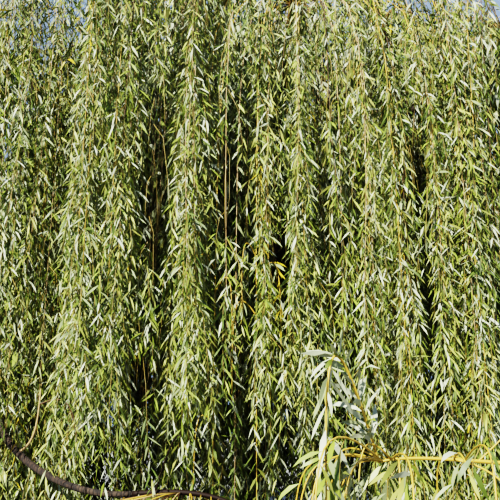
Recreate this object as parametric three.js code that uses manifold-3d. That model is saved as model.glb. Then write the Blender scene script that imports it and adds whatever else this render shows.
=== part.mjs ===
// A golden weeping willow, whole, as it stands in the ground. A short flared trunk forks low into five
// boughs and a leader. They and their side branches carry a domed crown of cascades: masses of long
// hanging twigs, each fed by one arching stem, ring outside ring, with the curtain nearly down to the
// ground all round. Millimetres, +Z up, the origin at the middle of the flat cut under the trunk.

import * as THREE from "three";
import { mergeVertices } from "three/addons/utils/BufferGeometryUtils.js";
import Module from "manifold-3d";

const wasm = await Module();
wasm.setup();

const { lerp, degToRad } = THREE.MathUtils;

// Driving dimensions of the trunk
const TRUNK_HEIGHT = 2250;
const TRUNK_RADIUS = 225;
const TRUNK_TAPER = 0.82; // radius under the fork, as a share of TRUNK_RADIUS
const TRUNK_LEAN = new THREE.Vector3(140, 60, 0); // how far the fork stands off the foot
const LEAN_POWER = 1.5;
const FLARE_RADIUS = 185; // what the roots add to the radius at the ground
const FLARE_HEIGHT = 320; // the height at which a third of the flare is left
const ROOT_LOBES = 5;
const LOBE_DEPTH = 0.4; // share of the flare that comes and goes between the roots

// Driving dimensions of the crown
const TREE_HEIGHT = 7900;
const CROWN_RADIUS = 4600;
const DOME_DROP = 3300; // from the top of the crown to its shoulder, at CROWN_RADIUS
const DOME_POWER = 1.9;
const LUMP = 230; // how far a cascade's top stands above or below the even dome

// The rings of cascades, from the middle of the crown outwards: how far out their middles stand, the
// azimuth of the first, half the width of one, how far it goes inwards and outwards from its middle,
// and the height at which it ends
const RINGS = [
  { name: "crown", count: 1, radius: 90, turn: 70, wide: 640, inner: 560, outer: 640, foot: 5300 },
  { name: "upper", count: 4, radius: 1380, turn: 24, wide: 1060, inner: 640, outer: 740, foot: 4000 },
  { name: "shoulder", count: 6, radius: 2740, turn: 12, wide: 1400, inner: 620, outer: 700, foot: 2500 },
  { name: "curtain", count: 10, radius: 3960, turn: -90, wide: 1240, inner: 480, outer: 720, foot: 200 },
];
const RING_SINK = 425; // how deep under the dome a bough ends
const AZIMUTH_JITTER = 0.16; // of the angle between two cascades of a ring
const RADIUS_JITTER = 140;
const FOOT_JITTER = 400;
const MAIN_BOUGHS = 5;
const ROOT_INSET = 0.62; // of a cascade's inner reach, from its middle in to the end of its bough

// Nothing hangs lower than this
const GROUND_CLEARANCE = 60;

// Two small cascades low at the front of the crown, each on a low bough of its own: one just above the
// ground, under the curtain, and one that stands out before it
const LOW_CASCADE = { x: -230, y: -4740, turn: -6, top: 1600, wide: 420, inner: 780, outer: 820, foot: 210 };
const NEAR_CASCADE = { x: 950, y: -6000, turn: 180, top: 1800, wide: 430, inner: 900, outer: 850, foot: 330 };
const FRONT_LAUNCH = 0.1; // slope at which their stems leave their boughs
const NEAR_DROOP = -0.05; // as STEM_DROOP: the near one's stem rises a little to its tip
const FRONT_SINK = 370;
const LOW_SPACE = new THREE.Box3(
  new THREE.Vector3(-1150, -5250, GROUND_CLEARANCE),
  new THREE.Vector3(800, -4150, 1700),
);

// Limbs: their radii where they leave the trunk or their parent, and the places along it where they do
const LEADER_RADIUS = 125;
const BOUGH_RADIUS = 112;
const BOUGH_STEP = 9; // by which the boughs of one height differ from those of the next
const OUTER_BRANCH_RADIUS = 56;
const SHOULDER_BRANCH_RADIUS = 62;
const UPPER_BRANCH_RADIUS = 52;
const FORK_DEPTH = 600; // from the trunk's top down to its lowest fork
const FORK_STEP = 190;
const LOW_BOUGH = { height: 1550, pull: 1200, radius: 66, tip: 18, bend: 0.52 };
const LOW_HANDLE = new THREE.Vector3(-3600, -2200, 3200); // the place that the low bough heads for first
const NEAR_BOUGH = { height: 1420, pull: 1100, radius: 60, tip: 14, bend: 0.55 };
const NEAR_HANDLE = new THREE.Vector3(1940, -2100, 2300);

// Stems and hanging twigs
const STEM_RADIUS = 32;
const STEM_TIP_RADIUS = 13;
const STEM_BEND = 3.2;
const STEM_LAUNCH = 0.7; // slope at which a stem leaves its bough, in the rings
const STEM_DROOP = 0.4; // of its reach, from its bough's end down to its tip
const STEM_REACH = 0.55; // of its cascade's outer reach, out from the cascade's middle
const TWIG_RADIUS = 14;
const TWIG_TIP_RADIUS = 7;
const TWIG_BEND = 10;
const TWIG_LAUNCH = 0.4;
const SWAY = 90; // how far a hanging twig swings out of its upright plane
const SWAY_TURNS = 0.8;
const EDGE_PULL = 1.5; // above 1, twigs hang closer together towards the outside of the crown
const TWIGS = { crown: 4, upper: 4, shoulder: 4, curtain: 5, low: 3, near: 3 }; // in each cascade

// A leaf of the source stands for a side shoot with its own leaves
const SPRAY_LENGTH = 1250;
const SPRAY_WIDTH = 290;
const SPRAY_THICKNESS = 30;
const SPRAY_WIDEST = 0.4; // share of its length from the root to its widest place
const SPRAY_ANGLE = 24; // degrees off the upright
const SPRAY_SPACING = 1180;
const SPRAY_SHORTEST = 0.72; // of SPRAY_LENGTH
const FIRST_SPRAY = 0.07; // how far down its twig the first one hangs, as a share
const LAST_SPRAY = 0.98;
const LAST_LENGTH = 0.55; // the one at a twig's end, as a share of the others

const CELL_MARGIN = 14; // kept clear on each side of the border between two cascades
const LIMB_CLEARANCE = 35;
const LEAST_REACH = 60; // a twig that would hang closer to its root than this is skipped
const JOINT_GAP = 0.3;
const SHORTEST_EDGE = 0.5; // edges shorter than this, left where two surfaces cross, are merged away
const GOLDEN_ANGLE = 137.508;
const LIMB_TAPER = 0.8; // below 1, limbs thin faster near their roots
const BOUGH_PULL = 0.46; // how long a limb holds its first way, as a share of its span
const LEADER_PULL = 0.42;
const BRANCH_PULL = 0.36;
const END_PULL = 0.34; // how long it holds its last way

const UP = new THREE.Vector3(0, 0, 1);
const TRUNK_BARK = { color: 0x5a4a3a, roughness: 0.95, metalness: 0 };
const LIMB_BARK = { color: 0x6a5440, roughness: 0.9, metalness: 0 };
const FOLIAGE = { color: 0x7d8a45, roughness: 0.6, metalness: 0 };

// The n-th number of an even scatter between 0 and 1. Each series has its own irrational step, so that
// numbers of two series make points that never bunch up, and the seed shifts the whole series.
const SERIES_STEPS = [0.7548776662, 0.569840291, 0.6180339887, 0.4142135624];
const SEED_STEP = 0.3819660113;
function scatter(n, series, seed) {
  const value = (n + 1) * SERIES_STEPS[series] + seed * SEED_STEP;
  return value - Math.floor(value);
}

// The same, from -1 to 1
function offset(n, series, seed) {
  return 2 * scatter(n, series, seed) - 1;
}

// The level unit vector at an azimuth in degrees, counted from +X towards +Y
function heading(azimuth) {
  return new THREE.Vector3(Math.cos(degToRad(azimuth)), Math.sin(degToRad(azimuth)), 0);
}

// How far apart two points are in plan
function planDistance(a, b) {
  return Math.hypot(a.x - b.x, a.y - b.y);
}

// Height of the even dome over a point at this distance from the axis
function domeHeight(radius) {
  return TREE_HEIGHT - DOME_DROP * (radius / CROWN_RADIUS) ** DOME_POWER;
}

// A shoot that springs up and out, arches over and hangs. Its reach and its rise are spent within the
// first part of its length, while its fall goes on evenly to the foot:
//   point(t) = root + (reach + rise up) (1 - e^(-bend t)) - fall t up + sway sin(turns t) t
class FountainCurve extends THREE.Curve {
  constructor(root, reach, launch, foot, bend, sway = 0) {
    super();
    this.root = root;
    this.reach = reach;
    this.bend = bend;
    this.sway = new THREE.Vector3().crossVectors(UP, reach).normalize().multiplyScalar(sway);
    this.fall = (root.z - foot + reach.length() * launch) / (1 - 1 / bend);
    this.rise = this.fall / bend + reach.length() * launch;
  }

  getPoint(t, target = new THREE.Vector3()) {
    const spent = 1 - Math.exp(-this.bend * t);
    return target
      .copy(this.root)
      .addScaledVector(this.reach, spent)
      .addScaledVector(this.sway, t * Math.sin(2 * Math.PI * SWAY_TURNS * t))
      .addScaledVector(UP, this.rise * spent - this.fall * t);
  }
}

// A stretch of a longer curve, evenly paced
class CurveStretch extends THREE.Curve {
  constructor(whole, from, to) {
    super();
    Object.assign(this, { whole, from, to });
  }

  getPoint(t, target = new THREE.Vector3()) {
    return this.whole.getPointAt(lerp(this.from, this.to, t), target);
  }
}

// A closed tapering tube along a curve. It is a capped cylinder whose rings are carried to the curve,
// with a frame that turns with the curve but never about it. Ease above 1 packs the rings to its start.
function tubeGeometry(curve, radiusAt, sides, segments, ease = 1) {
  const geometry = new THREE.CylinderGeometry(1, 1, 1, sides, segments);
  const frames = [];
  const normal = new THREE.Vector3(0.31, 0.95, 0.02);
  for (let ring = 0; ring <= segments; ring++) {
    const share = (ring / segments) ** ease;
    const along = curve.getTangent(share);
    normal.addScaledVector(along, -normal.dot(along)).normalize();
    const binormal = new THREE.Vector3().crossVectors(along, normal);
    frames.push({ middle: curve.getPoint(share), radius: radiusAt(share), normal: normal.clone(), binormal });
  }
  const position = geometry.attributes.position;
  for (let i = 0; i < position.count; i++) {
    const frame = frames[Math.round((position.getY(i) + 0.5) * segments)];
    const vertex = frame.middle
      .clone()
      .addScaledVector(frame.normal, position.getX(i) * frame.radius)
      .addScaledVector(frame.binormal, position.getZ(i) * frame.radius);
    position.setXYZ(i, vertex.x, vertex.y, vertex.z);
  }
  return geometry;
}

// A closed geometry as a solid that can be joined and cut, with its faces pointing outwards
function solidOf(geometry) {
  const bare = geometry.index ? geometry.toNonIndexed() : geometry.clone();
  bare.deleteAttribute("normal");
  bare.deleteAttribute("uv");
  const merged = mergeVertices(bare, 1e-3);
  const vertProperties = merged.attributes.position.array;
  const triVerts = new Uint32Array(merged.index.array);
  const solid = new wasm.Manifold(new wasm.Mesh({ numProp: 3, vertProperties, triVerts }));
  if (solid.volume() > 0) return solid;
  for (let i = 0; i < triVerts.length; i += 3) {
    [triVerts[i + 1], triVerts[i + 2]] = [triVerts[i + 2], triVerts[i + 1]];
  }
  return new wasm.Manifold(new wasm.Mesh({ numProp: 3, vertProperties, triVerts }));
}

// A solid back as a geometry, without the loose scraps that a cut may leave
function geometryOf(solid) {
  const whole = solid.decompose().reduce((best, body) => (body.volume() > best.volume() ? body : best));
  const mesh = whole.getMesh();
  const geometry = new THREE.BufferGeometry();
  geometry.setAttribute("position", new THREE.BufferAttribute(new Float32Array(mesh.vertProperties), 3));
  geometry.setIndex(new THREE.BufferAttribute(new Uint32Array(mesh.triVerts), 1));
  geometry.computeVertexNormals();
  return geometry;
}

// The trunk's radius at a height and an angle round it: an even taper, and roots that spread at its foot
function trunkRadius(height, angle) {
  const taper = lerp(1, TRUNK_TAPER, height / TRUNK_HEIGHT);
  const lobes = 1 + LOBE_DEPTH * Math.cos(ROOT_LOBES * angle);
  return TRUNK_RADIUS * taper + FLARE_RADIUS * lobes * Math.exp(-height / FLARE_HEIGHT);
}

// Middle of the trunk at a height: it leans, more so towards its fork
function trunkMiddle(height) {
  return TRUNK_LEAN.clone().multiplyScalar((height / TRUNK_HEIGHT) ** LEAN_POWER).setZ(height);
}

// The trunk: rings that close in towards the ground, where the flare is steepest, and a flat foot
function trunkSolid(grow) {
  const sides = 20;
  const rings = 7;
  const ringEase = 1.8;
  const geometry = new THREE.CylinderGeometry(1, 1, 1, sides, rings);
  const position = geometry.attributes.position;
  for (let i = 0; i < position.count; i++) {
    const height = TRUNK_HEIGHT * (position.getY(i) + 0.5) ** ringEase;
    const angle = Math.atan2(-position.getZ(i), position.getX(i));
    const reach = Math.hypot(position.getX(i), position.getZ(i)) * (trunkRadius(height, angle) + grow);
    const middle = trunkMiddle(height);
    position.setXYZ(i, middle.x + reach * Math.cos(angle), middle.y + reach * Math.sin(angle), height);
  }
  return solidOf(geometry);
}

// One cascade's place: its middle in plan, the way it heads, its sizes, and the root of its stem, which
// is where its bough ends
function cascadePlace(name, middle, outward, sizes, seed) {
  const side = new THREE.Vector3().crossVectors(UP, outward);
  const root = middle.clone().addScaledVector(outward, -ROOT_INSET * sizes.inner);
  root.z = sizes.top - sizes.sink;
  return { ...sizes, name, middle, outward, side, root, seed };
}

function ringCascades() {
  const places = [];
  for (const ring of RINGS) {
    const alone = ring.count === 1;
    for (let i = 0; i < ring.count; i++) {
      const seed = places.length;
      const azimuth = ring.turn + (360 / ring.count) * (i + AZIMUTH_JITTER * offset(i, 0, seed));
      const radius = ring.radius + (alone ? 0 : RADIUS_JITTER * offset(i, 1, seed));
      const top = domeHeight(radius) + (alone ? 0 : LUMP * offset(i, 2, seed));
      const foot = ring.foot + FOOT_JITTER * scatter(i, 3, seed);
      const outward = heading(azimuth);
      const middle = outward.clone().multiplyScalar(radius);
      const name = alone ? `${ring.name}_cascade` : `${ring.name}_cascade_${i + 1}`;
      const sizes = { ...ring, top, foot, sink: RING_SINK, launch: STEM_LAUNCH, droop: STEM_DROOP };
      places.push(cascadePlace(name, middle, outward, sizes, seed));
    }
  }
  return places;
}

function frontCascade(name, place, droop, seed) {
  const middle = new THREE.Vector3(place.x, place.y, 0);
  const sizes = { ...place, sink: FRONT_SINK, launch: FRONT_LAUNCH, droop };
  return cascadePlace(name, middle, heading(place.turn), sizes, seed);
}

const cascades = ringCascades();
const lowCascade = frontCascade("low_cascade", LOW_CASCADE, STEM_DROOP, cascades.length);
const nearCascade = frontCascade("near_cascade", NEAR_CASCADE, NEAR_DROOP, cascades.length + 1);
lowCascade.space = LOW_SPACE;
cascades.push(lowCascade, nearCascade);

// Whether a point stands in a cascade's own space, by a margin. The low cascade has a box of its own.
// Each other one has the points outside that box that are nearer in plan to its middle than to another's.
function inOwnSpace(point, cascade, margin = CELL_MARGIN) {
  if (cascade.space) return cascade.space.clone().expandByScalar(-margin).containsPoint(point);
  if (LOW_SPACE.clone().expandByScalar(margin).containsPoint(point)) return false;
  if (point.z < GROUND_CLEARANCE) return false;
  const own = planDistance(point, cascade.middle);
  return cascades.every((other) => {
    if (other === cascade || other.space) return true;
    const far = planDistance(point, other.middle);
    return (far * far - own * own) / (2 * planDistance(other.middle, cascade.middle)) > margin;
  });
}

// The stem of a cascade: out from its bough's tip, over, and down a little at the edge of the crown
function stemCurve(cascade) {
  const length = ROOT_INSET * cascade.inner + STEM_REACH * cascade.outer;
  const reach = cascade.outward.clone().multiplyScalar(length);
  const foot = cascade.root.z - cascade.droop * length;
  return new FountainCurve(cascade.root, reach, cascade.launch, foot, STEM_BEND);
}

// The limbs, each a cubic curve that ends where its cascade's stem begins and heads as the stem does
const limbs = [];
function addLimb(name, start, startWay, cascade, rootRadius, pull) {
  const end = cascade.root;
  const span = start.distanceTo(end);
  const startHandle = start.clone().addScaledVector(startWay.clone().normalize(), pull * span);
  const endHandle = end.clone().addScaledVector(stemCurve(cascade).getTangent(0), -END_PULL * span);
  const curve = new THREE.CubicBezierCurve3(start, startHandle, endHandle, end);
  const limb = { name, curve, radiusAt: (along) => lerp(rootRadius, STEM_RADIUS, along ** LIMB_TAPER) };
  limbs.push(limb);
  cascade.limb = limb;
  return limb;
}

// A side branch leaves its parent at a share of its length, partly along the parent and partly its own way
function addBranch(name, parent, along, cascade, rootRadius) {
  const start = parent.curve.getPointAt(along);
  const own = cascade.root.clone().sub(start).normalize();
  const way = parent.curve.getTangentAt(along).lerp(own, 0.6).addScaledVector(UP, 0.25);
  return addLimb(name, start, way, cascade, rootRadius, BRANCH_PULL);
}

// A low bough that swings round a wide gap: it heads for its handle first, then comes back to its
// cascade's root, in two limbs that meet at its bend
function addSwingingBough(name, { height, pull, radius, tip, bend }, handle, cascade) {
  const endHandle = cascade.root.clone().addScaledVector(stemCurve(cascade).getTangent(0), -pull);
  const curve = new THREE.CubicBezierCurve3(trunkMiddle(height), handle, endHandle, cascade.root);
  const radiusAt = (along) => lerp(radius, tip, along ** LIMB_TAPER);
  const stretch = (from, to) => ({
    curve: new CurveStretch(curve, from, to),
    radiusAt: (along) => radiusAt(lerp(from, to, along)),
  });
  limbs.push({ name, ...stretch(0, bend) });
  cascade.limb = { name: `${name}_end`, ...stretch(bend + JOINT_GAP / curve.getLength(), 1) };
  limbs.push(cascade.limb);
}

const ringOf = (name) => cascades.filter((cascade) => cascade.name.startsWith(name));
function turnBetween(a, b) {
  return Math.abs(new THREE.Vector2(a.x, a.y).angleTo(new THREE.Vector2(b.x, b.y)));
}

const leaderStart = trunkMiddle(TRUNK_HEIGHT - 150);
const leaderWay = new THREE.Vector3(-0.05, 0.06, 1);
const leader = addLimb("leader", leaderStart, leaderWay, cascades[0], LEADER_RADIUS, LEADER_PULL);

// The five boughs leave the trunk one above the other, steeply, and feed every second curtain cascade
const curtains = ringOf("curtain");
const boughs = [];
for (let i = 0; i < MAIN_BOUGHS; i++) {
  const start = trunkMiddle(TRUNK_HEIGHT - FORK_DEPTH + FORK_STEP * ((i * 2) % 3));
  const way = curtains[2 * i].outward.clone().addScaledVector(UP, 1.1 + 0.3 * scatter(i, 2, 3));
  const radius = BOUGH_RADIUS - BOUGH_STEP * (i % 3);
  boughs.push(addLimb(`bough_${i + 1}`, start, way, curtains[2 * i], radius, BOUGH_PULL));
}
function nearestBough(cascade) {
  const turns = boughs.map((bough, i) => turnBetween(cascade.middle, curtains[2 * i].middle));
  return boughs[turns.indexOf(Math.min(...turns))];
}

// Side branches leave the boughs for the other cascades of the curtain and the shoulder, each from the
// bough that it is nearest to, and leave the leader for the upper ones
for (let i = 0; i < MAIN_BOUGHS; i++) {
  addBranch(`outer_branch_${i + 1}`, boughs[i], 0.5, curtains[2 * i + 1], OUTER_BRANCH_RADIUS);
}
ringOf("shoulder").forEach((cascade, i) => {
  const along = 0.26 + 0.05 * (i % 3);
  addBranch(`shoulder_branch_${i + 1}`, nearestBough(cascade), along, cascade, SHOULDER_BRANCH_RADIUS);
});
ringOf("upper").forEach((cascade, i) => {
  addBranch(`upper_branch_${i + 1}`, leader, 0.24 + 0.08 * i, cascade, UPPER_BRANCH_RADIUS);
});

// The low bough sweeps round the left of the crown and down across its front, the near one round the right
addSwingingBough("low_bough", LOW_BOUGH, LOW_HANDLE, lowCascade);
addSwingingBough("near_bough", NEAR_BOUGH, NEAR_HANDLE, nearCascade);

// Places along every limb and up the trunk, for keeping twigs and leaves off them
const MARK_STEP = 70;
const marks = limbs.flatMap((limb) => {
  const count = Math.ceil(limb.curve.getLength() / MARK_STEP);
  return limb.curve.getSpacedPoints(count).map((point, i) => ({ point, radius: limb.radiusAt(i / count) }));
});
for (let height = 0; height <= TRUNK_HEIGHT; height += MARK_STEP) {
  marks.push({ point: trunkMiddle(height), radius: TRUNK_RADIUS + FLARE_RADIUS });
}

// Whether a ball of this size stays off every limb
function clearOfLimbs(point, size) {
  return marks.every((mark) => mark.point.distanceTo(point) > mark.radius + size + LIMB_CLEARANCE);
}

// One spray: the corners of a blade whose root is sunk into its twig and whose tip hangs down and out
function sprayCorners(twig, along, azimuth, length, angle) {
  const out = heading(azimuth);
  const tilt = degToRad(angle);
  const way = out.clone().multiplyScalar(Math.sin(tilt)).addScaledVector(UP, -Math.cos(tilt));
  const across = new THREE.Vector3().crossVectors(UP, out);
  const face = new THREE.Vector3().crossVectors(way, across);
  const root = twig.getPoint(along).addScaledVector(way, -TWIG_TIP_RADIUS);
  const onAxis = (share) => root.clone().addScaledVector(way, share * length);
  const waist = onAxis(SPRAY_WIDEST);
  const width = SPRAY_WIDTH / 2;
  return {
    left: waist.clone().addScaledVector(across, width),
    right: waist.clone().addScaledVector(across, -width),
    tip: onAxis(1),
    root,
    front: waist.clone().addScaledVector(face, SPRAY_THICKNESS / 2),
    back: waist.clone().addScaledVector(face, -SPRAY_THICKNESS / 2),
    axis: [0.2, 0.4, 0.6, 0.8, 1].map(onAxis),
  };
}

// The spray as a solid of eight faces: an octahedron whose six corners are carried to the spray's
function spraySolid({ left, right, tip, root, front, back }) {
  const geometry = new THREE.OctahedronGeometry(1);
  const position = geometry.attributes.position;
  const corners = [left, right, tip, root, front, back];
  for (let i = 0; i < position.count; i++) {
    const place = [position.getX(i), position.getY(i), position.getZ(i)];
    const axis = place.findIndex((value) => Math.abs(value) > 0.5);
    const corner = corners[2 * axis + (place[axis] > 0 ? 0 : 1)];
    position.setXYZ(i, corner.x, corner.y, corner.z);
  }
  return solidOf(geometry);
}

// The hanging twigs of a cascade. Their feet are scattered over its space, closer together towards its
// outer edge, and each springs from the nearest place on the stem.
function* hangingTwigs(cascade, stem) {
  const steps = 24;
  const firstRoot = 0.12;
  const lastRoot = 0.9;
  const places = stem.getPoints(steps);
  for (let n = 0; n < 90; n++) {
    const inwards = (cascade.inner + cascade.outer) * scatter(n, 1, cascade.seed) ** EDGE_PULL;
    const hang = cascade.middle
      .clone()
      .addScaledVector(cascade.side, cascade.wide * offset(n, 0, cascade.seed))
      .addScaledVector(cascade.outward, cascade.outer - inwards);
    const distances = places.map((place) => planDistance(place, hang));
    const nearest = distances.indexOf(Math.min(...distances)) / steps;
    const start = stem.getPoint(Math.max(firstRoot, lastRoot * nearest));
    const reach = hang.clone().sub(start).setZ(0);
    if (reach.length() < LEAST_REACH) continue;
    const hangs = cascade.space ? 0 : LAST_LENGTH * SPRAY_SHORTEST * SPRAY_LENGTH;
    const foot = cascade.foot + hangs + 0.35 * FOOT_JITTER * scatter(n, 2, cascade.seed);
    const aboveLow = !cascade.space && LOW_SPACE.containsPoint(hang.clone().setZ(LOW_SPACE.max.z));
    const lowest = aboveLow ? LOW_SPACE.max.z + LAST_LENGTH * SPRAY_LENGTH : 0;
    const sway = SWAY * offset(n, 3, cascade.seed);
    yield new FountainCurve(start, reach, TWIG_LAUNCH, Math.max(foot, lowest), TWIG_BEND, sway);
  }
}

// The sprays down a hanging twig that stay in the cascade's space and off the limbs, the last one at its end
function* spraysOf(twig, cascade, turn) {
  const count = Math.max(2, Math.round(twig.fall / SPRAY_SPACING));
  const longest = Math.min(SPRAY_LENGTH, 0.62 * twig.fall);
  for (let i = 0; i < count; i++) {
    const last = i === count - 1;
    const along = last ? LAST_SPRAY : lerp(FIRST_SPRAY, LAST_SPRAY, i / (count - 0.6));
    const share = lerp(SPRAY_SHORTEST, 1, scatter(i, 2, cascade.seed + turn)) * (last ? LAST_LENGTH : 1);
    const length = longest * share;
    const azimuth = GOLDEN_ANGLE * i + 360 * scatter(turn, 1, cascade.seed);
    const corners = sprayCorners(twig, along, azimuth, length, last ? SPRAY_ANGLE / 4 : SPRAY_ANGLE);
    const ends = [corners.left, corners.right, corners.tip];
    const inSpace = ends.every((corner) => inOwnSpace(corner, cascade));
    const free = corners.axis.every((place) => clearOfLimbs(place, SPRAY_WIDTH / 2));
    if (inSpace && free) yield corners;
  }
}

// A cascade as one solid: its stem, the first twigs of the scatter that stay in its space and off the
// limbs, and their sprays
function cascadeSolid(cascade) {
  const stem = stemCurve(cascade);
  stem.root = stem.root.clone().addScaledVector(stem.getTangent(0), JOINT_GAP);
  const stemRadius = cascade.limb.radiusAt(1);
  const stemTip = Math.min(STEM_TIP_RADIUS, 0.8 * stemRadius);
  const twigRadius = (along) => lerp(TWIG_RADIUS, TWIG_TIP_RADIUS, along);
  let solid = solidOf(tubeGeometry(stem, (along) => lerp(stemRadius, stemTip, along), 5, 4));
  const wanted = TWIGS[cascade.name.split("_")[0]];
  let twigs = 0;
  for (const twig of hangingTwigs(cascade, stem)) {
    if (twigs === wanted) break;
    const places = twig.getPoints(16).slice(1);
    const inSpace = places.every((place) => inOwnSpace(place, cascade, CELL_MARGIN + TWIG_RADIUS));
    const free = places.every((place) => clearOfLimbs(place, TWIG_RADIUS));
    if (!inSpace || !free) continue;
    twigs++;
    solid = solid.add(solidOf(tubeGeometry(twig, twigRadius, 3, 4, 1.8)));
    for (const corners of spraysOf(twig, cascade, twigs)) solid = solid.add(spraySolid(corners));
  }
  return solid.simplify(SHORTEST_EDGE);
}

function limbSolid(limb, grow = 0) {
  const thick = limb.radiusAt(0) > 80;
  return solidOf(tubeGeometry(limb.curve, (along) => limb.radiusAt(along) + grow, thick ? 8 : 5, 6));
}

const tree = new THREE.Group();
tree.name = "weeping_willow";
function addPiece(name, solid, look) {
  const piece = new THREE.Mesh(geometryOf(solid), new THREE.MeshStandardMaterial(look));
  piece.name = name;
  tree.add(piece);
}

// Each limb is cut clear of the trunk and of the limbs before it, so of the one that it grows from
addPiece("trunk", trunkSolid(0), TRUNK_BARK);
let standing = trunkSolid(JOINT_GAP);
for (const limb of limbs) {
  addPiece(limb.name, limbSolid(limb).subtract(standing), LIMB_BARK);
  standing = standing.add(limbSolid(limb, JOINT_GAP));
}
for (const cascade of cascades) addPiece(cascade.name, cascadeSolid(cascade), FOLIAGE);

export default tree;
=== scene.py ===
"""A golden weeping willow, whole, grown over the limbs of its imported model.

The trunk and limbs are meshes with furrowed bark. Each mass of foliage is grown again by the rule of the
part's source: a stem goes on from its bough's tip, hanging twigs spring from the stem, side shoots from
the twigs, and narrow leaves from the shoots. Metres, +Z up, the origin under the trunk at ground level.
"""

import logging
import math
from collections import defaultdict
from collections.abc import Callable
from dataclasses import dataclass, field, replace
from enum import Enum

import bpy
import numpy as np
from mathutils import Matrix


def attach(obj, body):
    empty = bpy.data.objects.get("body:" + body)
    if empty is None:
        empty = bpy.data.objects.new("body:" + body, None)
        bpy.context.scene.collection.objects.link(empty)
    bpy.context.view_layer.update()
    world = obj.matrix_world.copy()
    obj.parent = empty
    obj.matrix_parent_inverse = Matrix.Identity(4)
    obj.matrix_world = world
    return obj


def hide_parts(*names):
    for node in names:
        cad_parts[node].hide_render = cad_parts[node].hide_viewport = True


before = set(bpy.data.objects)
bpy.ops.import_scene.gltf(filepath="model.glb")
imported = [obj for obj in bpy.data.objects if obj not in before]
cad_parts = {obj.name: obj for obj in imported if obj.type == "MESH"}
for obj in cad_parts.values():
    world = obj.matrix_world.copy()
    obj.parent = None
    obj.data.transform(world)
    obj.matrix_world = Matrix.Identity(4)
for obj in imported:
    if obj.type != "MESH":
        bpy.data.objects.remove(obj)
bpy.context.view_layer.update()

log = logging.getLogger("willow")

UP = np.array([0.0, 0.0, 1.0])
LEVEL = 1 - UP
FULL_TURN = 2 * math.pi
GOLDEN_ANGLE = 137.508
SERIES_STEPS = (0.7548776662, 0.569840291, 0.6180339887, 0.4142135624)
SEED_STEP = 0.3819660113
SCREEN_GAMMA = 2.2
BODY = "root"
MIDDLE = "curtain_cascade_1"
SHOOT_PARTS = ("root", "reach", "launch", "foot", "bend", "sway")

Array = np.ndarray
Number = float | Array
Pair = tuple[Array, Array]
Span = tuple[float, float]
Triple = tuple[float, float, float]
Tree = bpy.types.NodeTree


def scatter(n: Number, series: int, seed: Number) -> Number:
    """The n-th number of an even scatter from 0 to 1: n + 1 of the series' steps, shifted by the seed."""
    value = (n + 1) * SERIES_STEPS[series] + seed * SEED_STEP
    return value - np.floor(value)


def offset(n: Number, series: int, seed: Number) -> Number:
    """The same scatter, from -1 to 1."""
    return 2 * scatter(n, series, seed) - 1


def heading(azimuth: Number) -> Array:
    """Level unit vectors at azimuths in degrees, counted from +X towards +Y."""
    turn = np.radians(azimuth)
    return np.stack([np.cos(turn), np.sin(turn), np.zeros_like(turn)], axis=-1)


def norm(vectors: Array) -> Array:
    """The lengths of the vectors."""
    return np.linalg.norm(vectors, axis=-1)


def unit(vectors: Array) -> Array:
    """The vectors, each divided by its length."""
    return vectors / norm(vectors)[..., None]


def mix(a: Number, b: Number, share: Number) -> Number:
    """The value at a share of the way from a to b."""
    return a + (b - a) * share


def angles_round(sides: int) -> Array:
    """The even angles of a ring's vertices."""
    return np.arange(sides) * (FULL_TURN / sides)


def linear(colour: Triple) -> tuple[float, float, float, float]:
    """A colour given as it looks on a screen, from 0 to 1, as the shader's own linear numbers."""
    return (*(part**SCREEN_GAMMA for part in colour), 1.0)


@dataclass
class Fountains:
    """Shoots that spring up and out, arch over and hang, many at once.

    point(t) = root + (reach + rise up) (1 - e^(-bend t)) - fall t up + sway sin(2 pi turns t) t
    """

    root: Array
    reach: Array
    launch: Array
    foot: Array
    bend: Array
    sway: Array
    turns: float = 0.8

    def __post_init__(self) -> None:
        """Works out how far each falls and rises, and the level way across it."""
        spring = norm(self.reach) * self.launch
        self.fall = (self.root[:, 2] - self.foot + spring) / (1 - 1 / self.bend)
        self.rise = self.fall / self.bend + spring
        self.side = unit(np.cross(UP, self.reach))

    def __len__(self) -> int:
        """How many shoots there are."""
        return len(self.root)

    def pick(self, which: Array) -> "Fountains":
        """Some of the shoots, by index or mask."""
        return Fountains(*(getattr(self, part)[which] for part in SHOOT_PARTS))

    def points(self, share: Number) -> Array:
        """Points on the shoots.

        Args:
            share: Shares from 0 to 1, the same for all shoots or a row for each.

        Returns:
            An array of shoots by shares by three.
        """
        spent = 1 - np.exp(-self.bend[:, None] * share)
        swing = self.sway[:, None] * share * np.sin(FULL_TURN * self.turns * share)
        height = self.rise[:, None] * spent - self.fall[:, None] * share
        return (
            self.root[:, None]
            + self.reach[:, None] * spent[..., None]
            + self.side[:, None] * swing[..., None]
            + UP * height[..., None]
        )

    def ways(self, share: Number) -> Array:
        """Unit tangents: the way each shoot heads at its shares."""
        step = 0.01
        return unit(self.points(np.minimum(share + step, 1.0)) - self.points(np.maximum(share - step, 0.0)))


def single(root: Array, reach: Array, launch: float, foot: float, bend: float) -> Fountains:
    """One shoot on its own, without sway."""
    return Fountains(root[None], reach[None], *(np.array([part]) for part in (launch, foot, bend, 0.0)))


def joined(groups: list[Fountains]) -> Fountains:
    """Several groups of shoots as one group."""
    return Fountains(*(np.concatenate([getattr(group, part) for group in groups]) for part in SHOOT_PARTS))


def ranks(count: Array) -> Pair:
    """For things in rows, count[i] of them in row i: the row of each, and its place in its row from 0."""
    row = np.repeat(np.arange(len(count)), count)
    return row, np.arange(len(row)) - (np.cumsum(count) - count)[row]


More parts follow.
